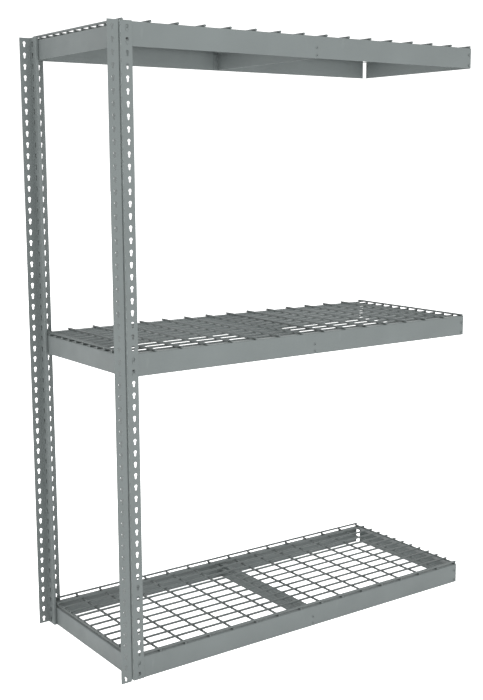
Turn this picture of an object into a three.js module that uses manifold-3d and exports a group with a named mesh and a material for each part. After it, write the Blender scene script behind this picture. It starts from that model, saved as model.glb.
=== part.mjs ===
// Boltless steel shelving, an add-on bay: two T-posts at one end, three shelf levels of riveted
// angle beams, a centre support under each level, and welded wire decks. Millimetres, +Z up.
import * as THREE from "three";
import { mergeVertices } from "three/addons/utils/BufferGeometryUtils.js";
import Module from "manifold-3d";

const wasm = await Module();
wasm.setup();

// Driving dimensions of the bay
const POST_HEIGHT = 2133.6;
const DEPTH = 621.6; // over the outer faces of the front and rear posts
const BAY_PITCH = 1549.4; // from one pair of posts to the next
const HOLE_PITCH = 38.1;
const SHELVES = [
  { level: "bottom", pitches: 0, longWiresOnTop: true },
  { level: "middle", pitches: 27, longWiresOnTop: false },
  { level: "top", pitches: 54, longWiresOnTop: false },
];

// Sheet and fits
const SHEET = 1.9;
const BEND_INSIDE = 0.7;
const BEND_OUTSIDE = BEND_INSIDE + SHEET;
const BEND_STEPS = 1;
const GAP = 0.3; // between pieces that rest on each other
const CUT_PAST = 1; // how far a hole's tool runs past the sheet on each side

// T-post: a flat head in the outer plane and a hollow stem that points into the bay
const POST_WIDTH = 87.2;
const STEM_WIDTH = 11;
const STEM_DEPTH = 47;

// Keyholes: a round entry above a narrower slot that the rivet drops into
const KEYHOLE_COUNT = 56;
const KEYHOLE_ENTRY_R = 5.5;
const KEYHOLE_SLOT_R = 3.5;
const KEYHOLE_DROP = 10.7; // from the entry's centre down to the seated rivet
const SEAT_Z = 9.6; // the lowest seated rivet above the floor
const FLANGE_KEYHOLE_X = 25.8;
const STEM_KEYHOLE_Y = 20.5;

// Beams: an angle, its web outwards and its narrow leg turned in along the top
const BEAM_HEIGHT = 74.5;
const BEAM_LEG = 25.4;
const LONG_BEAM_INSET = 17; // from a post's centre line to the end of a front or rear beam
const END_BEAM_INSET = 13; // from a post's outer face to the end of an end beam
const LOCK_HOLE_R = 3.6;
const LOCK_HOLE_Z = 21.6;

// Rivets
const RIVET_R = 3;
const RIVET_HOLE_R = 3.3;
const RIVET_HEAD_R = 4.9;
const RIVET_CROWN_R = 3.4;
const RIVET_HEAD = 1.6;
const RIVET_TAIL = 1.3;
const RIVET_TAIL_R = 4.3;
const RIVET_SIDES = 6;
const SUPPORT_RIVET_DROP = 25;
const FACE_HOLE_DEPTH = 0.7; // of the clearance round a fixed rivet's shank

// Centre support: an angle with an end tab at each beam
const SUPPORT_RISE = 1.4;
const SUPPORT_TAB = 22;
const SUPPORT_TAB_DROP = 6;

// Wire deck
const WIRE = 7.6;
const LONG_WIRES = 13;
const LONG_WIRE_PITCH = 50.8;
const CROSS_WIRES = 16;
const DECK_RIGHT = 1530.2;

const X = new THREE.Vector3(1, 0, 0);
const Y = new THREE.Vector3(0, 1, 0);
const Z = new THREE.Vector3(0, 0, 1);

// Heights that follow from the stack of parts, from the bottom of a beam
const DECK_Z = BEAM_HEIGHT + GAP; // underside of the wires that rest on the front and rear beams
const END_BEAM_HEIGHT = DECK_Z - WIRE - GAP; // low enough for wires under the deck to rest on
const BEAM_FACE = SHEET + GAP; // from a post's outer face to a beam's outer face

const paint = () => new THREE.MeshStandardMaterial({ color: 0x8a9291, roughness: 0.5 });
const coating = () => new THREE.MeshStandardMaterial({ color: 0x858b8a, roughness: 0.6 });

// Solids for cutting and joining

function toSolid(geometry) {
  const bare = geometry.clone();
  bare.deleteAttribute("normal");
  bare.deleteAttribute("uv");
  const merged = mergeVertices(bare, 1e-4);
  const vertProperties = new Float32Array(merged.attributes.position.array);
  const triVerts = new Uint32Array(merged.index.array);
  return new wasm.Manifold(new wasm.Mesh({ numProp: 3, vertProperties, triVerts }));
}

function toGeometry(solid) {
  const { vertProperties, triVerts } = solid.getMesh();
  const geometry = new THREE.BufferGeometry();
  geometry.setAttribute("position", new THREE.BufferAttribute(vertProperties, 3));
  geometry.setIndex(new THREE.BufferAttribute(triVerts, 1));
  geometry.computeVertexNormals();
  return geometry;
}

const join = (solids) => solids.reduce((all, next) => all.add(next));
const cut = (solid, tools) => tools.reduce((left, tool) => left.subtract(tool), solid);

// Points along an arc, angles in quarter turns
function arc(cx, cy, r, from, to, steps = BEND_STEPS) {
  return Array.from({ length: steps + 1 }, (_, i) => {
    const angle = (from + ((to - from) * i) / steps) * (Math.PI / 2);
    return new THREE.Vector2(cx + r * Math.cos(angle), cy + r * Math.sin(angle));
  });
}

// A prism of an outline: the outline's axes lie along u and v, and it runs along w
function prism(points, length, u, v, w, start = 0) {
  const shape = new THREE.Shape(points);
  const geometry = new THREE.ExtrudeGeometry(shape, { depth: length, bevelEnabled: false });
  geometry.translate(0, 0, start);
  return geometry.applyMatrix4(new THREE.Matrix4().makeBasis(u, v, w));
}

function box(x0, x1, y0, y1, z0, z1) {
  const geometry = new THREE.BoxGeometry(x1 - x0, y1 - y0, z1 - z0);
  return toSolid(geometry.translate((x0 + x1) / 2, (y0 + y1) / 2, (z0 + z1) / 2));
}

// T-post of the front: outer face at y = 0, centre line at x = 0, stem towards +Y

function postOutline() {
  const outer = STEM_WIDTH / 2;
  const inner = outer - SHEET;
  const half = [
    new THREE.Vector2(POST_WIDTH / 2, 0),
    new THREE.Vector2(POST_WIDTH / 2, SHEET),
    ...arc(outer + BEND_INSIDE, SHEET + BEND_INSIDE, BEND_INSIDE, 3, 2),
    ...arc(outer - BEND_OUTSIDE, STEM_DEPTH - BEND_OUTSIDE, BEND_OUTSIDE, 0, 1),
  ];
  const inside = [
    ...arc(inner - BEND_INSIDE, STEM_DEPTH - BEND_OUTSIDE, BEND_INSIDE, 1, 0),
    ...arc(inner + BEND_OUTSIDE, BEND_OUTSIDE, BEND_OUTSIDE, 2, 3),
  ];
  const mirror = (points) => points.map((p) => new THREE.Vector2(-p.x, p.y)).reverse();
  return [...half, ...mirror(half), ...mirror(inside), ...inside];
}

function keyholeOutline() {
  const entry = arc(0, KEYHOLE_DROP, KEYHOLE_ENTRY_R, 0, 2, 3);
  const slot = arc(0, 0, KEYHOLE_SLOT_R * Math.SQRT2, 2.5, 3.5, 1);
  return [...entry, ...slot];
}

// The flanges' keyholes, a column in each at every pitch
function flangeKeyholeTools() {
  const outline = keyholeOutline();
  const tools = [];
  for (let i = 0; i < KEYHOLE_COUNT; i += 1) {
    const z = SEAT_Z + i * HOLE_PITCH;
    const length = SHEET + 2 * CUT_PAST;
    const through = toSolid(prism(outline, length, X, Z, Y.clone().negate(), -SHEET - CUT_PAST));
    tools.push(through.translate([-FLANGE_KEYHOLE_X, 0, z]));
    tools.push(through.translate([FLANGE_KEYHOLE_X, 0, z]));
  }
  return tools;
}

// The stem's keyholes, cut where end beams hook in, on the bay's side and the next bay's side
function stemKeyholeTools() {
  const outline = keyholeOutline();
  const length = STEM_WIDTH + 2 * CUT_PAST;
  const across = toSolid(prism(outline, length, Y, Z, X, -length / 2));
  return SHELVES.flatMap(({ pitches }) =>
    [0, 1].map((i) => across.translate([0, STEM_KEYHOLE_Y, SEAT_Z + (pitches + i) * HOLE_PITCH])),
  );
}

function postGeometry() {
  const blank = toSolid(prism(postOutline(), POST_HEIGHT, X, Y, Z));
  return toGeometry(cut(blank, [...flangeKeyholeTools(), ...stemKeyholeTools()]));
}

// Angle beam along +X from x = 0: outer face at y = 0, leg turned to +Y at the top

function angleOutline(height) {
  return [
    new THREE.Vector2(0, 0),
    new THREE.Vector2(SHEET, 0),
    ...arc(SHEET + BEND_INSIDE, height - BEND_OUTSIDE, BEND_INSIDE, 2, 1),
    new THREE.Vector2(BEAM_LEG, height - SHEET),
    new THREE.Vector2(BEAM_LEG, height),
    ...arc(BEND_OUTSIDE, height - BEND_OUTSIDE, BEND_OUTSIDE, 1, 2),
  ];
}

const angleSolid = (length, height) => toSolid(prism(angleOutline(height), length, Y, Z, X));

function discAlongY(r, y0, y1) {
  return toSolid(new THREE.CylinderGeometry(r, r, y1 - y0, RIVET_SIDES).translate(0, (y0 + y1) / 2, 0));
}

const holeThroughWeb = (r, x, z) => discAlongY(r, -CUT_PAST, SHEET + CUT_PAST).translate([x, 0, z]);
const holeInFace = (r, x, z) => discAlongY(r, -CUT_PAST, FACE_HOLE_DEPTH).translate([x, 0, z]);

// A rivet along Y through a web whose outer face is at y = 0. Its head stands off in front, so
// that a post's sheet fits under it, and its tail starts at tailY behind the web.
function rivetSolid(tailY) {
  const headBack = -SHEET - 2 * GAP;
  const profile = [
    [0, headBack - RIVET_HEAD],
    [RIVET_CROWN_R, headBack - RIVET_HEAD],
    [RIVET_HEAD_R, headBack],
    [RIVET_R, headBack],
    [RIVET_R, tailY],
    [RIVET_TAIL_R, tailY],
    [0, SHEET + GAP + RIVET_TAIL],
  ];
  const points = profile.map(([r, y]) => new THREE.Vector2(r, y));
  return toSolid(new THREE.LatheGeometry(points, RIVET_SIDES));
}

const looseRivet = () => rivetSolid(SHEET + GAP);

// Rivets that are one with their web: each tail sinks into it, and each shank keeps its clearance
// in the outer part of its hole
function withFixedRivets(web, spots) {
  const holes = spots.map(({ x, z }) => holeInFace(RIVET_HOLE_R, x, z));
  const rivets = spots.map(({ x, z }) => rivetSolid(SHEET / 2).translate([x, 0, z]));
  return join([cut(web, holes), ...rivets]);
}

// Seats of the two rivets at one end of a beam
const RIVET_ROWS = [
  { row: "lower", z: SEAT_Z },
  { row: "upper", z: SEAT_Z + HOLE_PITCH },
];
const SUPPORT_ROWS = [
  { row: "lower", z: SEAT_Z },
  { row: "upper", z: SEAT_Z + SUPPORT_RIVET_DROP },
];

// Front and rear beams: loose rivets at the end that hooks on the posts, fixed ones at the free end
const LONG_BEAM_LENGTH = BAY_PITCH - 2 * LONG_BEAM_INSET;
const LONG_BEAM_RIVET_X = FLANGE_KEYHOLE_X - LONG_BEAM_INSET;

function longBeamSolid(mirrored) {
  const place = (x) => (mirrored ? LONG_BEAM_LENGTH - x : x);
  const holes = [
    ...RIVET_ROWS.map(({ z }) => holeThroughWeb(RIVET_HOLE_R, place(LONG_BEAM_RIVET_X), z)),
    ...SUPPORT_ROWS.map(({ z }) => holeThroughWeb(RIVET_HOLE_R, LONG_BEAM_LENGTH / 2, z)),
    holeThroughWeb(LOCK_HOLE_R, place(LONG_BEAM_RIVET_X), LOCK_HOLE_Z),
  ];
  const freeX = place(LONG_BEAM_LENGTH - LONG_BEAM_RIVET_X);
  const web = cut(angleSolid(LONG_BEAM_LENGTH, BEAM_HEIGHT), holes);
  return withFixedRivets(web, RIVET_ROWS.map(({ z }) => ({ x: freeX, z })));
}

// End beams: both ends hook on the stems, so all four rivets are loose or all are fixed
const END_BEAM_LENGTH = DEPTH - 2 * END_BEAM_INSET;
const END_BEAM_RIVET_X = STEM_KEYHOLE_Y - END_BEAM_INSET;

function endBeamSolid(rivetsFixed) {
  const spots = [END_BEAM_RIVET_X, END_BEAM_LENGTH - END_BEAM_RIVET_X].flatMap((x) =>
    RIVET_ROWS.map(({ z }) => ({ x, z })),
  );
  const bare = angleSolid(END_BEAM_LENGTH, END_BEAM_HEIGHT);
  if (rivetsFixed) return withFixedRivets(bare, spots);
  return cut(bare, spots.map(({ x, z }) => holeThroughWeb(RIVET_HOLE_R, x, z)));
}

// Centre support along +X from x = 0: an angle with a tab bent off its web at each end, the
// tabs' rivet holes on the line y = SUPPORT_TAB / 2
const SUPPORT_LENGTH = DEPTH - 2 * (BEAM_FACE + SHEET + GAP);
const SUPPORT_HEIGHT = END_BEAM_HEIGHT - SUPPORT_RISE;

function supportSolid() {
  const tabTop = SUPPORT_HEIGHT - SUPPORT_TAB_DROP;
  const holes = SUPPORT_ROWS.map(({ z }) =>
    discAlongY(RIVET_HOLE_R, -SHEET - CUT_PAST, SHEET + CUT_PAST)
      .rotate([0, 0, 90])
      .translate([0, SUPPORT_TAB / 2, z - SUPPORT_RISE]),
  );
  const tab = cut(box(0, SHEET, 0, SUPPORT_TAB, 0, tabTop), holes);
  const rib = angleSolid(SUPPORT_LENGTH - SHEET, SUPPORT_HEIGHT).translate([SHEET / 2, 0, 0]);
  return join([rib, tab, tab.translate([SUPPORT_LENGTH - SHEET, 0, 0])]);
}

// Wire deck from its left front corner, z = 0 where its two layers meet. The cross wires run
// front to back on the front and rear beams, and the long wires are welded over or under them.
const DECK_LEFT = STEM_WIDTH / 2 + 2 * GAP;
const DECK_LENGTH = DECK_RIGHT - DECK_LEFT;
const DECK_WIDTH = (LONG_WIRES - 1) * LONG_WIRE_PITCH + WIRE;
const CROSS_WIRE_PITCH = (DECK_LENGTH - WIRE) / (CROSS_WIRES - 1);

// Triangles of one square wire from s = 0 to length, between t and t + WIRE, that stands on
// z = 0 and is open there where it is welded to the wires that start at each stop
function wireTriangles(length, t, stops) {
  const chain = [0, ...stops.flatMap((stop) => [stop, stop + WIRE]), length];
  const near = (s, z) => [s, t, z];
  const far = (s, z) => [s, t + WIRE, z];
  const quad = (a, b, c, d) => [a, b, c, a, c, d];
  const points = [
    ...quad(near(0, WIRE), near(length, WIRE), far(length, WIRE), far(0, WIRE)),
    ...quad(near(0, 0), near(0, WIRE), far(0, WIRE), far(0, 0)),
    ...quad(near(length, 0), far(length, 0), far(length, WIRE), near(length, WIRE)),
    ...[near(0, WIRE), near(length, 0), near(length, WIRE)],
    ...[far(0, WIRE), far(length, WIRE), far(length, 0)],
  ];
  for (let i = 0; i + 1 < chain.length; i += 1) {
    const [from, to] = [chain[i], chain[i + 1]];
    if (to === from) continue;
    points.push(near(0, WIRE), near(from, 0), near(to, 0), far(0, WIRE), far(to, 0), far(from, 0));
    if (i % 2 === 0) points.push(...quad(near(from, 0), far(from, 0), far(to, 0), near(to, 0)));
  }
  return points;
}

function deckGeometry(longWiresOnTop) {
  // Under the deck, the outermost long wires would lie in the beams' legs, so they are left out
  const skipped = longWiresOnTop ? 0 : 1;
  const crossStarts = Array.from({ length: CROSS_WIRES }, (_, i) => i * CROSS_WIRE_PITCH);
  crossStarts[CROSS_WIRES - 1] = DECK_LENGTH - WIRE;
  const longCount = LONG_WIRES - 2 * skipped;
  const longStarts = Array.from({ length: longCount }, (_, i) => (i + skipped) * LONG_WIRE_PITCH);
  const up = longWiresOnTop ? -1 : 1;
  const points = [
    ...crossStarts.flatMap((x) =>
      wireTriangles(DECK_WIDTH, x, longStarts).map(([s, t, z]) => [t, s, up * z]),
    ),
    ...longStarts.flatMap((y) =>
      wireTriangles(DECK_LENGTH, y, crossStarts).map(([s, t, z]) => [s, t, -up * z]),
    ),
  ];
  // Both mappings mirror the wires when the cross wires are the upper ones
  if (up > 0) points.reverse();
  const geometry = new THREE.BufferGeometry();
  geometry.setAttribute("position", new THREE.Float32BufferAttribute(points.flat(), 3));
  geometry.computeVertexNormals();
  return geometry;
}

// Assembly: x = 0 on the posts' centre line, y = 0 on the front posts' outer face

const shelving = new THREE.Group();
const bay = new THREE.Group();
shelving.add(bay);
const bboxLeft = -POST_WIDTH / 2;
const endBeamFace = BAY_PITCH - STEM_WIDTH / 2 - GAP;
const bboxRight = endBeamFace + SHEET + 2 * GAP + RIVET_HEAD;
bay.position.set(-(bboxLeft + bboxRight) / 2, -DEPTH / 2, 0);

function addMesh(parent, name, geometry, material, x, y, z, turn = 0) {
  const mesh = new THREE.Mesh(geometry, material);
  mesh.name = name;
  mesh.position.set(x, y, z);
  mesh.rotation.z = turn;
  parent.add(mesh);
}

const HALF_TURN = Math.PI;
const QUARTER_TURN = Math.PI / 2;

const post = postGeometry();
addMesh(bay, "front_t_post", post, paint(), 0, 0, 0);
addMesh(bay, "rear_t_post", post, paint(), 0, DEPTH, 0, HALF_TURN);

const frontBeam = toGeometry(longBeamSolid(false));
const rearBeam = toGeometry(longBeamSolid(true));
const leftEndBeam = toGeometry(endBeamSolid(false));
const rightEndBeam = toGeometry(endBeamSolid(true));
const support = toGeometry(supportSolid());
const rivet = toGeometry(looseRivet());

function addShelf({ level, pitches, longWiresOnTop }) {
  const shelf = new THREE.Group();
  shelf.position.z = pitches * HOLE_PITCH;
  bay.add(shelf);

  const add = (name, geometry, material, x, y, z, turn) =>
    addMesh(shelf, `${level}_${name}`, geometry, material, x, y, z, turn);
  const addRivets = (owner, rows, x, y, turn) =>
    rows.forEach(({ row, z }) => add(`${owner}_rivet_${row}`, rivet, coating(), x, y, z, turn));

  const front = BEAM_FACE;
  const rear = DEPTH - BEAM_FACE;
  add("front_beam", frontBeam, paint(), LONG_BEAM_INSET, front, 0, 0);
  add("rear_beam", rearBeam, paint(), BAY_PITCH - LONG_BEAM_INSET, rear, 0, HALF_TURN);
  addRivets("front_beam", RIVET_ROWS, FLANGE_KEYHOLE_X, front, 0);
  addRivets("rear_beam", RIVET_ROWS, FLANGE_KEYHOLE_X, rear, HALF_TURN);

  const left = STEM_WIDTH / 2 + GAP;
  const stemRear = DEPTH - STEM_KEYHOLE_Y;
  add("left_end_beam", leftEndBeam, paint(), left, DEPTH - END_BEAM_INSET, 0, -QUARTER_TURN);
  add("right_end_beam", rightEndBeam, paint(), endBeamFace, END_BEAM_INSET, 0, QUARTER_TURN);
  addRivets("left_end_beam_front", RIVET_ROWS, left, STEM_KEYHOLE_Y, -QUARTER_TURN);
  addRivets("left_end_beam_rear", RIVET_ROWS, left, stemRear, -QUARTER_TURN);

  const middle = BAY_PITCH / 2;
  const tabFront = front + SHEET + GAP;
  const tabRear = rear - SHEET - GAP;
  const supportX = middle + SUPPORT_TAB / 2;
  add("centre_support", support, paint(), supportX, tabFront, SUPPORT_RISE, QUARTER_TURN);
  addRivets("centre_support_front", SUPPORT_ROWS, middle, tabFront, 0);
  addRivets("centre_support_rear", SUPPORT_ROWS, middle, tabRear, HALF_TURN);

  const deckFront = (DEPTH - DECK_WIDTH) / 2;
  const layersMeet = longWiresOnTop ? DECK_Z + WIRE : DECK_Z;
  add("wire_deck", deckGeometry(longWiresOnTop), coating(), DECK_LEFT, deckFront, layersMeet, 0);
}

SHELVES.forEach(addShelf);

export default shelving;
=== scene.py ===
"""Boltless steel shelving, an add-on bay: folded sheet-steel posts and beams, rivets and welded wire decks.

Shapes are made in millimetres in each piece's own frame, then placed in the row frame from the CAD boxes.
"""

import math
from collections import Counter

import bpy
from mathutils import Matrix, Vector, geometry


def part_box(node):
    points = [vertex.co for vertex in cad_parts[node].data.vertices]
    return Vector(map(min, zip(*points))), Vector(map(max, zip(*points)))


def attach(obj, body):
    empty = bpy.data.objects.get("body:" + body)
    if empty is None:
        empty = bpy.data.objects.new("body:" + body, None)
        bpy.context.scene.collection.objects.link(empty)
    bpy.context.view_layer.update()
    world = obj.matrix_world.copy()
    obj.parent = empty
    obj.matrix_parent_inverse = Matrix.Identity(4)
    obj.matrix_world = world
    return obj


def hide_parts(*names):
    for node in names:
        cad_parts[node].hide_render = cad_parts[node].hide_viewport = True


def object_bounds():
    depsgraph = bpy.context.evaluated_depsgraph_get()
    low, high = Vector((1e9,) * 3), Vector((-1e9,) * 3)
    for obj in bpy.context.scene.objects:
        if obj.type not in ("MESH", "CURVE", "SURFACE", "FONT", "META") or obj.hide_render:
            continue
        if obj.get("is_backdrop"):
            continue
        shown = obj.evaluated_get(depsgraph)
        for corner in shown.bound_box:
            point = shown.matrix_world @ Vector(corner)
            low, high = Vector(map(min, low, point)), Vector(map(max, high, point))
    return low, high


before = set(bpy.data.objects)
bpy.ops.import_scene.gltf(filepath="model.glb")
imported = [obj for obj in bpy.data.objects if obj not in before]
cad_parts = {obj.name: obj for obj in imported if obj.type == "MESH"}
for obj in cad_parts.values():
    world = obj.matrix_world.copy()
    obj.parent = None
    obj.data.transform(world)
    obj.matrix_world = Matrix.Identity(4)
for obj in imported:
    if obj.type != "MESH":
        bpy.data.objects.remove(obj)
cad_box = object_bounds()

MM = 0.001
LEVELS = ("bottom", "middle", "top")
ROWS = ("lower", "upper")

# Sheet
SHEET = 1.9
BEND_INSIDE = 0.7
BEND_OUTSIDE = BEND_INSIDE + SHEET
BEND_STEPS = 5
EDGE = 0.22  # the cut edges are broken by this much
SUPPORT_LINE = 0.5  # keeps a flat's shading flat beside a bend

# T-post
POST_HALF_WIDTH = 43.6
STEM_HALF = 5.5
STEM_DEPTH = 47.0
STEM_MOUTH = 13.0
STRIP_HALF = 0.6  # half the thickness of the strip that closes the stem's hollow
STRIP_SIDE_GAP = 0.05
STRIP_END_GAP = 0.5
HOLE_PITCH = 38.1
KEYHOLE_COUNT = 56
ENTRY_R = 5.5
SLOT_R = 3.3
SLOT_TOP_HALF = 3.5
ENTRY_POINTS = 15
SLOT_POINTS = 8
KEYHOLE_DROP = 10.7
SEAT_Z = 9.6
FLANGE_KEYHOLE_X = 25.8
STEM_KEYHOLE_Y = 20.5

# Beams
BEAM_LEG = 25.4
LONG_BEAM_INSET = 17.0
END_BEAM_INSET = 13.0
LOCK_HOLE_R = 3.6
LOCK_HOLE_Z = 21.6
SUPPORT_RIVET_DROP = 25.0
SUPPORT_TAB = 22.0
SUPPORT_TAB_DROP = 6.0
SUPPORT_RISE = 1.4

# Rivets
RIVET_R = 3.0
RIVET_HOLE_R = 3.3
HEAD_R = 4.9
HEAD_HEIGHT = 1.6
HEAD_RIM = 0.15  # the chamfer at the back of the head
BORE_R = 1.7
BORE_DEPTH = 2.4
BORE_LIP = 0.2  # how far the dome rolls into the bore
BLIND_HEAD_RIM = 0.1
HEAD_BACK = -SHEET - 0.6  # the back of the head, from the beam's outer face
TAIL_FACE = SHEET + 0.3
TAIL_R = 4.3
TAIL_HEIGHT = 1.3
TAIL_ROUND = 0.5

# Wire decks
WIRE_R = 4.0
WIRE_SIDES = 14
WIRE_SINK = 0.2  # the weld sets each wire this far past the plane where the layers meet
LONG_WIRE_PITCH = 50.8
CROSS_WIRES = 16
WELD_R = 2.6
WELD_HEIGHT = 1.1
WELD_SIDES = 10

# Shading: the steepest edge that is smoothed, in degrees
SHEET_SMOOTH = 35
ROUND_SMOOTH = 50


# Folded sheet: a flat pattern in (s, v), s along the folded section and v along its length

class Fold:
    """A folded section. It starts at a point on the sheet's middle and goes on in flats and bends."""

    def __init__(self, x, y, heading):
        self.point, self.heading, self.s = Vector((x, y)), math.radians(heading), 0.0
        self.parts = []

    def flat(self, length):
        ahead = Vector((math.cos(self.heading), math.sin(self.heading)))
        self.parts.append((self.s, length, self.point.copy(), self.heading, 0.0))
        self.point += ahead * length
        self.s += length
        return self

    def bend(self, degrees):
        turn = math.radians(degrees)
        radius = (BEND_INSIDE + SHEET / 2) * (1 if turn > 0 else -1)
        length = radius * turn
        self.parts.append((self.s, length, self.point.copy(), self.heading, radius))
        self.point = self.locate(self.s + length)[0]
        self.heading += turn
        self.s += length
        return self

    def locate(self, s):
        """The middle of the sheet at s, and the normal to the left of the way it goes."""
        start, _, point, heading, radius = next(
            (p for p in self.parts if s <= p[0] + p[1] + 1e-6), self.parts[-1]
        )
        left = Vector((-math.sin(heading), math.cos(heading)))
        if not radius:
            return point + Vector((left.y, -left.x)) * (s - start), left
        turned = (s - start) / radius
        centre = point + left * radius
        normal = Matrix.Rotation(turned, 2) @ left
        return centre - normal * radius, normal

    def lines(self):
        """Where the pattern needs a line: at each bend's steps, and just beside each bend."""
        found = set()
        for i, (start, length, _, _, radius) in enumerate(self.parts):
            if radius:
                found |= {start + length * k / BEND_STEPS for k in range(BEND_STEPS + 1)}
                continue
            if i:
                found.add(start + SUPPORT_LINE)
            if i + 1 < len(self.parts):
                found.add(start + length - SUPPORT_LINE)
        return sorted(found)


def circle(cx, cy, r, n=20, start=0.0, sweep=2 * math.pi):
    closed = math.isclose(abs(sweep), 2 * math.pi)
    steps = n if closed else n - 1
    return [
        (cx + r * math.cos(start + sweep * i / steps), cy + r * math.sin(start + sweep * i / steps))
        for i in range(n)
    ]


def keyhole(cx, cy):
    """A round entry above a narrower slot whose sides close in a little. cx, cy is the seat."""
    half = math.asin(SLOT_TOP_HALF / ENTRY_R)
    start, sweep = half - math.pi / 2, 2 * math.pi - 2 * half
    entry = circle(cx, cy + KEYHOLE_DROP, ENTRY_R, ENTRY_POINTS, start, sweep)
    slot = circle(cx, cy, SLOT_R, SLOT_POINTS, math.pi, math.pi)
    return entry + slot


def inside(point, ring):
    x, y = point
    hit = False
    for (x0, y0), (x1, y1) in zip(ring, ring[1:] + ring[:1]):
        if (y0 > y) != (y1 > y) and x < (x1 - x0) * (y - y0) / (y1 - y0) + x0:
            hit = not hit
    return hit


def flat_pattern(outline, holes, lines):
    """Triangles of a flat blank with holes. lines are ((s, v), (s, v)) that its edges must follow."""
    points, edges = [], []
    for ring in [outline, *holes]:
        base = len(points)
        points += [Vector(p) for p in ring]
        edges += [(base + i, base + (i + 1) % len(ring)) for i in range(len(ring))]
    for a, b in lines:
        edges.append((len(points), len(points) + 1))
        points += [Vector(a), Vector(b)]
    made, _, faces, *_ = geometry.delaunay_2d_cdt(points, edges, [], 0, 1e-4)
    kept = []
    for face in faces:
        middle = sum((made[i] for i in face), Vector((0, 0))) / len(face)
        if inside(middle, outline) and not any(inside(middle, h) for h in holes):
            kept.append(tuple(face))
    return [tuple(p) for p in made], kept


def tiled(points, faces, pitch, count):
    """The pattern repeated along v, its shared points welded."""
    index, all_points, all_faces = {}, [], []
    for k in range(count):
        numbers = []
        for s, v in points:
            key = (round(s, 3), round(v + k * pitch, 3))
            if key not in index:
                index[key] = len(all_points)
                all_points.append((s, v + k * pitch))
            numbers.append(index[key])
        all_faces += [tuple(numbers[i] for i in f) for f in faces]
    return all_points, all_faces


def thicken(points, faces, place):
    """A closed sheet from a flat pattern. place(s, v, t) gives the point at t from the sheet's middle."""
    faces = [f if turn_of(points, f) > 0 else f[::-1] for f in faces]
    directed = Counter((f[i], f[(i + 1) % len(f)]) for f in faces for i in range(len(f)))
    rim = [(a, b) for a, b in directed if (b, a) not in directed]
    outward = {}
    for a, b in rim:
        along = (Vector(points[b]) - Vector(points[a])).normalized()
        for i in (a, b):
            outward[i] = outward.get(i, Vector((0, 0))) + Vector((along.y, -along.x))
    half = SHEET / 2
    verts = []
    for t in (half, -half):
        for i, (s, v) in enumerate(points):
            if i in outward:
                inset = outward[i].normalized() * EDGE
                s, v = s - inset.x, v - inset.y
            verts.append(place(s, v, t))
    n = len(points)
    made = [*faces, *(tuple(i + n for i in reversed(f)) for f in faces)]
    ring = {}
    for i in outward:
        ring[i] = len(verts)
        verts += [place(*points[i], half - EDGE), place(*points[i], EDGE - half)]
    for a, b in rim:
        made.append((b, a, ring[a], ring[b]))
        made.append((ring[b], ring[a], ring[a] + 1, ring[b] + 1))
        made.append((ring[b] + 1, ring[a] + 1, a + n, b + n))
    return verts, made


def turn_of(points, face):
    (x0, y0), (x1, y1), (x2, y2) = (points[i] for i in face[:3])
    return (x1 - x0) * (y2 - y0) - (x2 - x0) * (y1 - y0)


def rectangle(s0, s1, v0, v1):
    return [(s0, v0), (s1, v0), (s1, v1), (s0, v1)]


# Pieces, each in its own frame in millimetres

def post_shape():
    """The front post: outer face at y = 0, centre line at x = 0, stem towards +Y."""
    fold = Fold(-POST_HALF_WIDTH, SHEET / 2, 0)
    flange = POST_HALF_WIDTH - STEM_HALF - BEND_INSIDE
    wall = STEM_DEPTH - 2 * BEND_OUTSIDE
    fold.flat(flange).bend(90)
    left_wall = fold.s
    fold.flat(wall).bend(-90).flat(2 * (STEM_HALF - BEND_OUTSIDE)).bend(-90)
    right_wall = fold.s
    fold.flat(wall).bend(90)
    right_flange = fold.s
    fold.flat(flange)
    edge = STEM_HALF + BEND_INSIDE
    columns = (
        POST_HALF_WIDTH - FLANGE_KEYHOLE_X,
        left_wall + STEM_KEYHOLE_Y - BEND_OUTSIDE,
        right_wall + wall - (STEM_KEYHOLE_Y - BEND_OUTSIDE),
        right_flange + FLANGE_KEYHOLE_X - edge,
    )
    mouth = STEM_MOUTH - BEND_OUTSIDE
    creases = [*fold.lines(), left_wall + mouth, right_wall + wall - mouth]
    lines = [((s, 0), (s, HOLE_PITCH)) for s in creases]
    holes = [keyhole(s, SEAT_Z) for s in columns]
    cell = flat_pattern(rectangle(0, fold.s, 0, HOLE_PITCH), holes, lines)

    def place(s, v, t):
        middle, normal = fold.locate(s)
        at = middle + normal * t
        return at.x, at.y, v

    return thicken(*tiled(*cell, HOLE_PITCH, KEYHOLE_COUNT), place)


def stem_strip_shape():
    """The strip across the hollow of the post's stem, at the bottom of its slot."""
    half = STEM_HALF - SHEET - STRIP_SIDE_GAP
    corners = rectangle(-half, half, STEM_MOUTH - STRIP_HALF, STEM_MOUTH + STRIP_HALF)
    ends = (STRIP_END_GAP, HOLE_PITCH * KEYHOLE_COUNT - STRIP_END_GAP)
    verts = [(x, y, z) for z in ends for x, y in corners]
    sides = [(i, (i + 1) % 4, (i + 1) % 4 + 4, i + 4) for i in range(4)]
    return verts, [(3, 2, 1, 0), (4, 5, 6, 7), *sides]


def angle_fold(height):
    """A beam's section in (y, z): its web's outer face at y = 0, its leg turned in at the top."""
    fold = Fold(SHEET / 2, 0, 90).flat(height - BEND_OUTSIDE).bend(-90)
    return fold.flat(BEAM_LEG - BEND_OUTSIDE)


def beam_shape(length, height, holes):
    """An angle beam along +X from x = 0. holes are (x, z, radius) in its web."""
    fold = angle_fold(height)
    lines = [((s, 0), (s, length)) for s in fold.lines()]
    rings = [circle(z, x, r) for x, z, r in holes]
    pattern = flat_pattern(rectangle(0, fold.s, 0, length), rings, lines)

    def place(s, v, t):
        middle, normal = fold.locate(s)
        at = middle + normal * t
        return v, at.x, at.y

    return thicken(*pattern, place)


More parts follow.
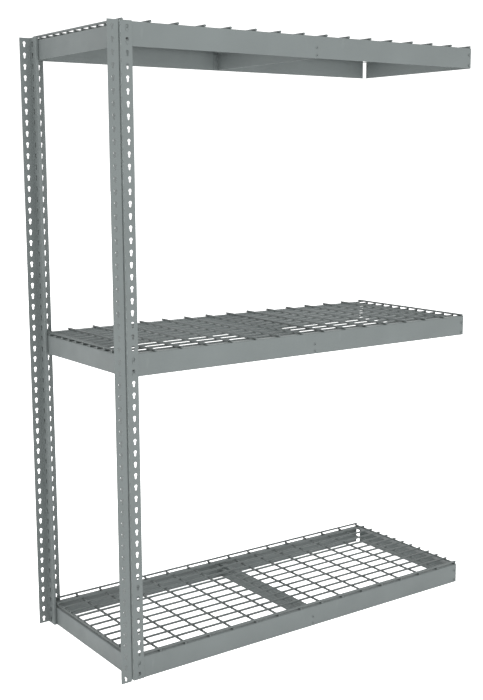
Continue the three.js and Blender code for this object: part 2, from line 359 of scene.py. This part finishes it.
def support_shape(length, height):
    """The centre support along +X: an angle whose web ends in tabs bent towards +Y, with rivet holes."""
    across = angle_fold(height)
    tab_flat = SUPPORT_TAB - BEND_OUTSIDE
    along = Fold(SHEET / 2, SUPPORT_TAB, -90).flat(tab_flat).bend(90)
    web_start = along.s
    along.flat(length - 2 * BEND_OUTSIDE)
    web_end = along.s
    along.bend(90).flat(tab_flat)
    tab_top = height - SUPPORT_TAB_DROP
    web_top = height - BEND_OUTSIDE
    leg_start, leg_end = web_start + 1.0, web_end - 1.0
    outline = [
        (0, 0), (along.s, 0), (along.s, tab_top), (web_end + SUPPORT_LINE, tab_top),
        (leg_end, web_top), (leg_end, across.s), (leg_start, across.s), (leg_start, web_top),
        (web_start - SUPPORT_LINE, tab_top), (0, tab_top),
    ]
    reach = SUPPORT_TAB / 2
    rings = [
        circle(s, z, RIVET_HOLE_R)
        for s in (reach, along.s - reach)
        for z in (SEAT_Z - SUPPORT_RISE, SEAT_Z - SUPPORT_RISE + SUPPORT_RIVET_DROP)
    ]
    lines = [((s, 0), (s, tab_top)) for s in along.lines()]
    lines += [((leg_start, v), (leg_end, v)) for v in across.lines()]
    pattern = flat_pattern(outline, rings, lines)

    def place(s, v, t):
        middle, normal = along.locate(s)
        if v <= web_top:
            at = middle - normal * t
            return at.x, at.y, v
        section, up = across.locate(v)
        at = section + up * t
        return middle.x, at.x, at.y

    return thicken(*pattern, place)


def lathe(profile, sides=24):
    """A solid of revolution about the Y axis from (radius, y) points that start and end on it."""
    verts, faces, rings = [], [], []
    for r, y in profile:
        if r < 1e-6:
            rings.append([len(verts)] * sides)
            verts.append((0, y, 0))
            continue
        rings.append([len(verts) + i for i in range(sides)])
        verts += [(x, y, z) for x, z in circle(0, 0, r, sides)]
    for lower, upper in zip(rings, rings[1:]):
        for i in range(sides):
            j = (i + 1) % sides
            ring = dict.fromkeys((lower[i], lower[j], upper[j], upper[i]))
            faces.append(tuple(ring))
    return verts, faces


def tail_profile():
    """The clinched tail behind the sheet, from the shank out to the axis."""
    top = TAIL_FACE + TAIL_HEIGHT
    centre_r, centre_y = TAIL_R - TAIL_ROUND, top - TAIL_ROUND
    rim = [
        (centre_r + TAIL_ROUND * math.sin(a), centre_y + TAIL_ROUND * math.cos(a))
        for a in (math.pi / 2 * k / 3 for k in (3, 2, 1, 0))
    ]
    foot = [(RIVET_R, TAIL_FACE), (TAIL_R - 0.25, TAIL_FACE), (TAIL_R, TAIL_FACE + 0.3)]
    return [*foot, *rim, (0, top)]


def rivet_shape():
    """A beam rivet: a low domed head in front, a shank, and a clinched tail."""
    front = HEAD_BACK - HEAD_HEIGHT
    crown = HEAD_HEIGHT - 0.5
    dome = [
        (HEAD_R * math.sin(a), front + crown * (1 - math.cos(a)))
        for a in (math.pi / 2 * k / 7 for k in range(8))
    ]
    head = [*dome, (HEAD_R, HEAD_BACK - HEAD_RIM), (HEAD_R - HEAD_RIM, HEAD_BACK)]
    return lathe([*head, (RIVET_R, HEAD_BACK), *tail_profile()])


def blind_rivet_shape():
    """A support rivet: a domed head with the open bore that its broken-off pin leaves."""
    front = HEAD_BACK - HEAD_HEIGHT
    crown = HEAD_HEIGHT - 0.4
    dome = [
        (BORE_R + (HEAD_R - BORE_R) * math.sin(a), front + crown * (1 - math.cos(a)))
        for a in (math.pi / 2 * k / 6 for k in range(7))
    ]
    bottom = front + BORE_DEPTH
    socket = [(0, bottom), (BORE_R, bottom), (BORE_R, front + BORE_LIP)]
    head = [*socket, *dome, (HEAD_R, HEAD_BACK - BLIND_HEAD_RIM), (HEAD_R - BLIND_HEAD_RIM, HEAD_BACK)]
    return lathe([*head, (RIVET_R, HEAD_BACK), *tail_profile()])


def shade_plug_shape():
    """A cupped plug in a beam's lock hole, near-black as painted shade where the open hole looks dark."""
    r = LOCK_HOLE_R - 0.15
    back = SHEET + 1.1
    cup = [(0, 1.0), (r - 0.9, 1.0), (r - 0.6, 0.7), (r - 0.6, 0.1), (r - 0.4, 0)]
    skirt = [(r - 0.1, 0), (r, 0.1), (r, back - 0.3), (r - 0.3, back), (0, back)]
    return lathe([*cup, *skirt])


def merged(shapes):
    verts, faces = [], []
    for more_verts, more_faces in shapes:
        base = len(verts)
        verts += more_verts
        faces += [tuple(i + base for i in f) for f in more_faces]
    return verts, faces


def moved(shape, matrix):
    verts, faces = shape
    return [tuple(matrix @ Vector(v)) for v in verts], faces


def wire_shape(length):
    """A round wire along +Y from y = 0, its cut ends slightly rounded."""
    bite = 0.6
    end = [(0, 0), (WIRE_R - bite, 0), (WIRE_R - 0.2, 0.25), (WIRE_R, bite)]
    return lathe([*end, *[(r, length - y) for r, y in reversed(end)]], WIRE_SIDES)


def weld_shape():
    """The flattened bead where two wires cross, about the Z axis."""
    profile = [
        (WELD_R * math.cos(a), WELD_HEIGHT * math.sin(a))
        for a in (math.pi / 2 * k / 3 for k in range(-3, 4))
    ]
    return moved(lathe(profile, WELD_SIDES), Matrix.Rotation(math.pi / 2, 4, "X"))


def deck_shape(low, high, long_wires_on_top):
    """A welded deck in the box from low to high, in millimetres."""
    size = high - low
    long_count = round((size.y - 2 * WIRE_R) / LONG_WIRE_PITCH) + 1
    middle_y, meet = (low.y + high.y) / 2, (low.z + high.z) / 2
    rise = WIRE_R - WIRE_SINK
    lift = rise if long_wires_on_top else -rise
    skipped = 0 if long_wires_on_top else 1
    long_y = [
        middle_y + (i - (long_count - 1) / 2) * LONG_WIRE_PITCH
        for i in range(skipped, long_count - skipped)
    ]
    cross_pitch = (size.x - 2 * WIRE_R) / (CROSS_WIRES - 1)
    cross_x = [low.x + WIRE_R + i * cross_pitch for i in range(CROSS_WIRES)]
    quarter = Matrix.Rotation(-math.pi / 2, 4, "Z")
    cross, long = wire_shape(size.y), wire_shape(size.x)
    shapes = [moved(cross, Matrix.Translation((x, low.y, meet - lift))) for x in cross_x]
    shapes += [moved(long, Matrix.Translation((low.x, y, meet + lift)) @ quarter) for y in long_y]
    weld = weld_shape()
    shapes += [moved(weld, Matrix.Translation((x, y, meet))) for x in cross_x for y in long_y]
    return merged(shapes)


# Materials

def tint(colour, factor):
    return tuple(min(1.0, c * factor) for c in colour) + (1.0,)


def paint(name, colour, roughness, grain, peel):
    """Powder coat: uneven tone, a fine orange-peel bump, dull patches and faint rub marks."""
    material = bpy.data.materials.new(name)
    material.use_nodes = True
    nodes, links = material.node_tree.nodes, material.node_tree.links
    shader = nodes["Principled BSDF"]
    shader.inputs["Specular IOR Level"].default_value = 0.25
    place = nodes.new("ShaderNodeTexCoord")

    def noise(scale, detail, stretch=(1, 1, 1)):
        mapping = nodes.new("ShaderNodeMapping")
        mapping.inputs["Scale"].default_value = stretch
        links.new(place.outputs["Object"], mapping.inputs["Vector"])
        texture = nodes.new("ShaderNodeTexNoise")
        texture.inputs["Scale"].default_value = scale
        texture.inputs["Detail"].default_value = detail
        links.new(mapping.outputs["Vector"], texture.inputs["Vector"])
        return texture.outputs["Fac"]

    def ramp(source, stops):
        node = nodes.new("ShaderNodeValToRGB")
        node.color_ramp.elements[0].position, node.color_ramp.elements[0].color = stops[0]
        node.color_ramp.elements[1].position, node.color_ramp.elements[1].color = stops[-1]
        for position, value in stops[1:-1]:
            node.color_ramp.elements.new(position).color = value
        links.new(source, node.inputs["Fac"])
        return node.outputs["Color"]

    def grey(value):
        return (value, value, value, 1.0)

    tones = [(0.3, tint(colour, 0.94)), (0.5, tint(colour, 1.0)), (0.7, tint(colour, 1.05))]
    tone = ramp(noise(5.0, 4.0), tones)
    speck = ramp(noise(420.0, 2.0), [(0.42, grey(0.965)), (0.6, grey(1.0))])
    specked = nodes.new("ShaderNodeMix")
    specked.data_type, specked.blend_type = "RGBA", "MULTIPLY"
    specked.inputs["Factor"].default_value = 1.0
    links.new(tone, specked.inputs["A"])
    links.new(speck, specked.inputs["B"])
    rub = ramp(noise(26.0, 8.0, (1, 1, 0.25)), [(0.66, grey(0.0)), (0.74, grey(0.35))])
    rubbed = nodes.new("ShaderNodeMix")
    rubbed.data_type = "RGBA"
    links.new(rub, rubbed.inputs["Factor"])
    links.new(specked.outputs["Result"], rubbed.inputs["A"])
    rubbed.inputs["B"].default_value = tint(colour, 1.18)
    links.new(rubbed.outputs["Result"], shader.inputs["Base Color"])

    dull = ramp(noise(14.0, 6.0), [(0.3, grey(roughness - 0.06)), (0.7, grey(roughness + 0.1))])
    links.new(dull, shader.inputs["Roughness"])

    bump = nodes.new("ShaderNodeBump")
    bump.inputs["Strength"].default_value = peel
    bump.inputs["Distance"].default_value = 0.0002
    links.new(noise(grain, 2.0), bump.inputs["Height"])
    links.new(bump.outputs["Normal"], shader.inputs["Normal"])
    return material


STEEL_GREY = (0.1, 0.1135, 0.1125)
WIRE_GREY = (0.084, 0.095, 0.094)
PAINTS = {
    "post": paint("powder_coat_posts", STEEL_GREY, 0.5, 900.0, 0.25),
    "beam": paint("powder_coat_beams", STEEL_GREY, 0.5, 900.0, 0.25),
    "rivet": paint("powder_coat_rivets", tint(STEEL_GREY, 0.97)[:3], 0.46, 1400.0, 0.2),
    "wire_deck": paint("coated_wire", WIRE_GREY, 0.5, 1600.0, 0.2),
}
# Painted light: a paler grey on the inner walls of the stem's mouth, standing in for light that reaches
# into the slot
STEM_MOUTH_PAINTED_LIGHT = paint("stem_mouth_painted_light", (0.29, 0.32, 0.315), 0.6, 900.0, 0.25)
# Painted shade: near-black inside the blind rivets' bores, standing in for the dark of the hole
BORE_PAINTED_SHADE = paint("rivet_bore_painted_shade", (0.02, 0.022, 0.022), 0.7, 900.0, 0.25)
# Painted shade: near-black for the plugs in the lock holes, standing in for the dark of the open holes
LOCK_HOLE_SHADE = paint("lock_hole_painted_shade", (0.016, 0.017, 0.017), 0.55, 700.0, 0.2)


# Placing

def mesh_of(name, shape, slot, smooth_up_to=SHEET_SMOOTH):
    verts, faces = shape
    mesh = bpy.data.meshes.new(name)
    mesh.from_pydata([tuple(c * MM for c in v) for v in verts], [], faces)
    mesh.validate()
    mesh.update()
    mesh.shade_smooth()
    mesh.set_sharp_from_angle(angle=math.radians(smooth_up_to))
    mesh.materials.append(PAINTS[slot])
    return mesh


def lay_painted_light_or_shade(mesh, material, chosen):
    """Gives the faces that chosen(x, y, z) picks by their middle a second material, which here is painted
    light or painted shade.
    """
    mesh.materials.append(material)
    for face in mesh.polygons:
        if chosen(*(face.center / MM)):
            face.material_index = 1


# Picks the stem's mouth, whose inner walls get the painted light
def in_painted_light_mouth(x, y, _):
    return abs(x) < STEM_HALF - SHEET + 0.3 and y < STEM_MOUTH


# Picks the inside of the bore, which gets the painted shade
def in_shaded_bore(x, y, z):
    return math.hypot(x, z) < BORE_R and y < HEAD_BACK - HEAD_HEIGHT + BORE_DEPTH + 0.1


def show(name, mesh, body, at=(0, 0, 0), turn=0, node=None):
    """Adds a piece at a point in the row frame, turned about Z by quarter turns, riding on a body."""
    piece = bpy.data.objects.new(name, mesh)
    bpy.context.scene.collection.objects.link(piece)
    piece.matrix_world = Matrix.Translation(at) @ Matrix.Rotation(turn * math.pi / 2, 4, "Z")
    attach(piece, body)
    if node:
        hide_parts(node)
    return piece


def size_mm(node):
    low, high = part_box(node)
    return (high - low) / MM


front_post_low, front_post_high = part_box("front_t_post")
rear_post_low, rear_post_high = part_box("rear_t_post")
POST_X = (front_post_low.x + front_post_high.x) / 2
FRONT_Y, REAR_Y = front_post_low.y, rear_post_high.y

post_mesh = mesh_of("t_post", post_shape(), "post")
# The stem's mouth is given its paler painted light
lay_painted_light_or_shade(post_mesh, STEM_MOUTH_PAINTED_LIGHT, in_painted_light_mouth)
show("front_t_post.sheet", post_mesh, "posts", (POST_X, FRONT_Y, 0), 0, "front_t_post")
show("rear_t_post.sheet", post_mesh, "posts", (POST_X, REAR_Y, 0), 2, "rear_t_post")
strip_mesh = mesh_of("stem_strip", stem_strip_shape(), "post")
show("front_t_post.stem_strip", strip_mesh, "posts", (POST_X, FRONT_Y, 0), 0)
show("rear_t_post.stem_strip", strip_mesh, "posts", (POST_X, REAR_Y, 0), 2)

long_length = size_mm("bottom_front_beam").x
long_height = size_mm("bottom_front_beam").z
end_length = size_mm("bottom_left_end_beam").y
end_height = size_mm("bottom_left_end_beam").z
support_size = size_mm("bottom_centre_support")

rivet_z = {"lower": SEAT_Z, "upper": SEAT_Z + HOLE_PITCH}
support_rivet_z = {"lower": SEAT_Z, "upper": SEAT_Z + SUPPORT_RIVET_DROP}
hook_x = FLANGE_KEYHOLE_X - LONG_BEAM_INSET
end_hook_x = STEM_KEYHOLE_Y - END_BEAM_INSET


def long_beam_holes(mirrored):
    holes = [(x, z, RIVET_HOLE_R) for x in (hook_x, long_length - hook_x) for z in rivet_z.values()]
    holes += [(long_length / 2, z, RIVET_HOLE_R) for z in support_rivet_z.values()]
    holes.append((long_length - hook_x if mirrored else hook_x, LOCK_HOLE_Z, LOCK_HOLE_R))
    return holes


end_holes = [
    (x, z, RIVET_HOLE_R) for x in (end_hook_x, end_length - end_hook_x) for z in rivet_z.values()
]
front_shape = beam_shape(long_length, long_height, long_beam_holes(False))
front_beam_mesh = mesh_of("front_beam", front_shape, "beam")
rear_shape = beam_shape(long_length, long_height, long_beam_holes(True))
rear_beam_mesh = mesh_of("rear_beam", rear_shape, "beam")
end_beam_mesh = mesh_of("end_beam", beam_shape(end_length, end_height, end_holes), "beam")
support_mesh = mesh_of("centre_support", support_shape(support_size.y, support_size.z), "beam")
rivet_mesh = mesh_of("rivet", rivet_shape(), "rivet", ROUND_SMOOTH)
blind_rivet_mesh = mesh_of("blind_rivet", blind_rivet_shape(), "rivet", ROUND_SMOOTH)
lay_painted_light_or_shade(blind_rivet_mesh, BORE_PAINTED_SHADE, in_shaded_bore)
shade_plug_mesh = mesh_of("lock_hole_shade_plug", shade_plug_shape(), "rivet", ROUND_SMOOTH)
shade_plug_mesh.materials[0] = LOCK_HOLE_SHADE


def show_shelf(level):
    """One level's beams, centre support, rivets and near-black lock plugs of painted shade, which rise as
    one.
    """
    body = f"{level}_shelf"
    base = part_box(f"{level}_left_end_beam")[0].z
    head_reach = (HEAD_HEIGHT - HEAD_BACK) * MM
    rear_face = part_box(f"{level}_rear_beam")[1].y - head_reach
    front_face = -rear_face
    front_low, front_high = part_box(f"{level}_front_beam")
    left_low, left_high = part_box(f"{level}_left_end_beam")
    right_low, right_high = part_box(f"{level}_right_end_beam")
    left_face = left_low.x
    right_face = right_high.x - head_reach
    support_low, support_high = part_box(f"{level}_centre_support")

    def piece(kind, mesh, at, turn):
        node = f"{level}_{kind}"
        show(f"{node}.sheet", mesh, body, at, turn, node)

    piece("front_beam", front_beam_mesh, (front_low.x, front_face, base), 0)
    piece("rear_beam", rear_beam_mesh, (front_high.x, rear_face, base), 2)
    piece("left_end_beam", end_beam_mesh, (left_face, left_high.y, base), 3)
    piece("right_end_beam", end_beam_mesh, (right_face, right_low.y, base), 1)
    piece("centre_support", support_mesh, (support_high.x, support_low.y, support_low.z), 1)

    def rivets(owner, mesh, heights, x, y, turn, node=True):
        for row in ROWS:
            name = f"{level}_{owner}_rivet_{row}"
            at = (x, y, base + heights[row] * MM)
            show(f"{name}.steel", mesh, body, at, turn, name if node else None)

    post_x = front_low.x + hook_x * MM
    free_x = front_high.x - hook_x * MM
    hook_front, hook_rear = left_low.y + end_hook_x * MM, left_high.y - end_hook_x * MM
    rivets("front_beam", rivet_mesh, rivet_z, post_x, front_face, 0)
    rivets("rear_beam", rivet_mesh, rivet_z, post_x, rear_face, 2)
    rivets("left_end_beam_front", rivet_mesh, rivet_z, left_face, hook_front, 3)
    rivets("left_end_beam_rear", rivet_mesh, rivet_z, left_face, hook_rear, 3)
    rivets("front_beam_free_end", rivet_mesh, rivet_z, free_x, front_face, 0, False)
    rivets("rear_beam_free_end", rivet_mesh, rivet_z, free_x, rear_face, 2, False)
    rivets("right_end_beam_front", rivet_mesh, rivet_z, right_face, hook_front, 1, False)
    rivets("right_end_beam_rear", rivet_mesh, rivet_z, right_face, hook_rear, 1, False)
    lock_z = base + LOCK_HOLE_Z * MM
    # Near-black plugs in the lock holes: painted shade
    show(f"{level}_front_beam.lock_hole_shade_plug", shade_plug_mesh, body, (post_x, front_face, lock_z), 0)
    show(f"{level}_rear_beam.lock_hole_shade_plug", shade_plug_mesh, body, (post_x, rear_face, lock_z), 2)
    middle_x = (front_low.x + front_high.x) / 2
    support_rivets = (blind_rivet_mesh, support_rivet_z, middle_x)
    rivets("centre_support_front", *support_rivets, support_low.y, 0)
    rivets("centre_support_rear", *support_rivets, support_high.y, 2)


def show_deck(level):
    """One level's wire deck. Only the bottom one has its long wires on top."""
    deck = f"{level}_wire_deck"
    low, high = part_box(deck)
    shape = deck_shape(low / MM, high / MM, level == "bottom")
    mesh = mesh_of(f"{deck}.wires", shape, "wire_deck", ROUND_SMOOTH)
    show(f"{deck}.wires", mesh, f"{level}_deck", node=deck)


for level in LEVELS:
    show_shelf(level)
    show_deck(level)


# Stage: pale floor, soft light, camera

def stage_floor():
    half = 60.0
    mesh = bpy.data.meshes.new("floor")
    corners = [(x, y, 0) for x, y in rectangle(-half, half, -half, half)]
    mesh.from_pydata(corners, [], [(0, 1, 2, 3)])
    material = bpy.data.materials.new("pale_floor")
    material.use_nodes = True
    shader = material.node_tree.nodes["Principled BSDF"]
    shader.inputs["Base Color"].default_value = (0.9, 0.9, 0.9, 1)
    shader.inputs["Roughness"].default_value = 0.9
    shader.inputs["Emission Color"].default_value = (1, 1, 1, 1)
    shader.inputs["Emission Strength"].default_value = 0.9
    mesh.materials.append(material)
    floor = bpy.data.objects.new("floor", mesh)
    floor.location.z = -0.0005
    bpy.context.scene.collection.objects.link(floor)
    floor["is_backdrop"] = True


def area_light(name, at, target, size, power):
    light = bpy.data.lights.new(name, "AREA")
    light.shape, light.size, light.energy = "DISK", size, power
    lamp = bpy.data.objects.new(name, light)
    lamp.location = at
    lamp.rotation_euler = (Vector(target) - Vector(at)).to_track_quat("-Z", "Y").to_euler()
    bpy.context.scene.collection.objects.link(lamp)


def stage_camera(at, degrees, lens):
    """A camera at a point, turned right from +Y, up and counterclockwise by the given degrees."""
    azimuth, elevation, roll = (math.radians(a) for a in degrees)
    level_x, level_y = math.sin(azimuth), math.cos(azimuth)
    out, rise = math.cos(elevation), math.sin(elevation)
    ahead = Vector((level_x * out, level_y * out, rise))
    right = ahead.cross(Vector((0, 0, 1))).normalized()
    up = right.cross(ahead)
    right, up = (
        right * math.cos(roll) + up * math.sin(roll),
        up * math.cos(roll) - right * math.sin(roll),
    )
    camera = bpy.data.objects.new("camera", bpy.data.cameras.new("camera"))
    camera.data.sensor_fit = "VERTICAL"
    camera.data.sensor_height = 36
    camera.data.lens = lens
    camera.data.clip_end = 200
    basis = Matrix((right, up, -ahead)).transposed()
    camera.matrix_world = Matrix.Translation(at) @ basis.to_4x4()
    bpy.context.scene.collection.objects.link(camera)
    bpy.context.scene.camera = camera


def stage_world(strength):
    world = bpy.data.worlds.new("studio")
    world.use_nodes = True
    background = world.node_tree.nodes["Background"]
    background.inputs["Color"].default_value = (1, 1, 1, 1)
    background.inputs["Strength"].default_value = strength
    bpy.context.scene.world = world


stage_floor()
stage_camera((-2.4911, -3.3710, 1.7008), (35.569, -9.444, -0.219), 57.55)
area_light("key", (-1.6, -4.8, 5.0), (0, 0, 1.0), size=4.0, power=190)
stage_world(1.4)
bpy.context.scene.view_settings.view_transform = "Standard"

boxes = {"cad": cad_box, "visual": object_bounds()}
{name: [list(corner) for corner in box] for name, box in boxes.items()}
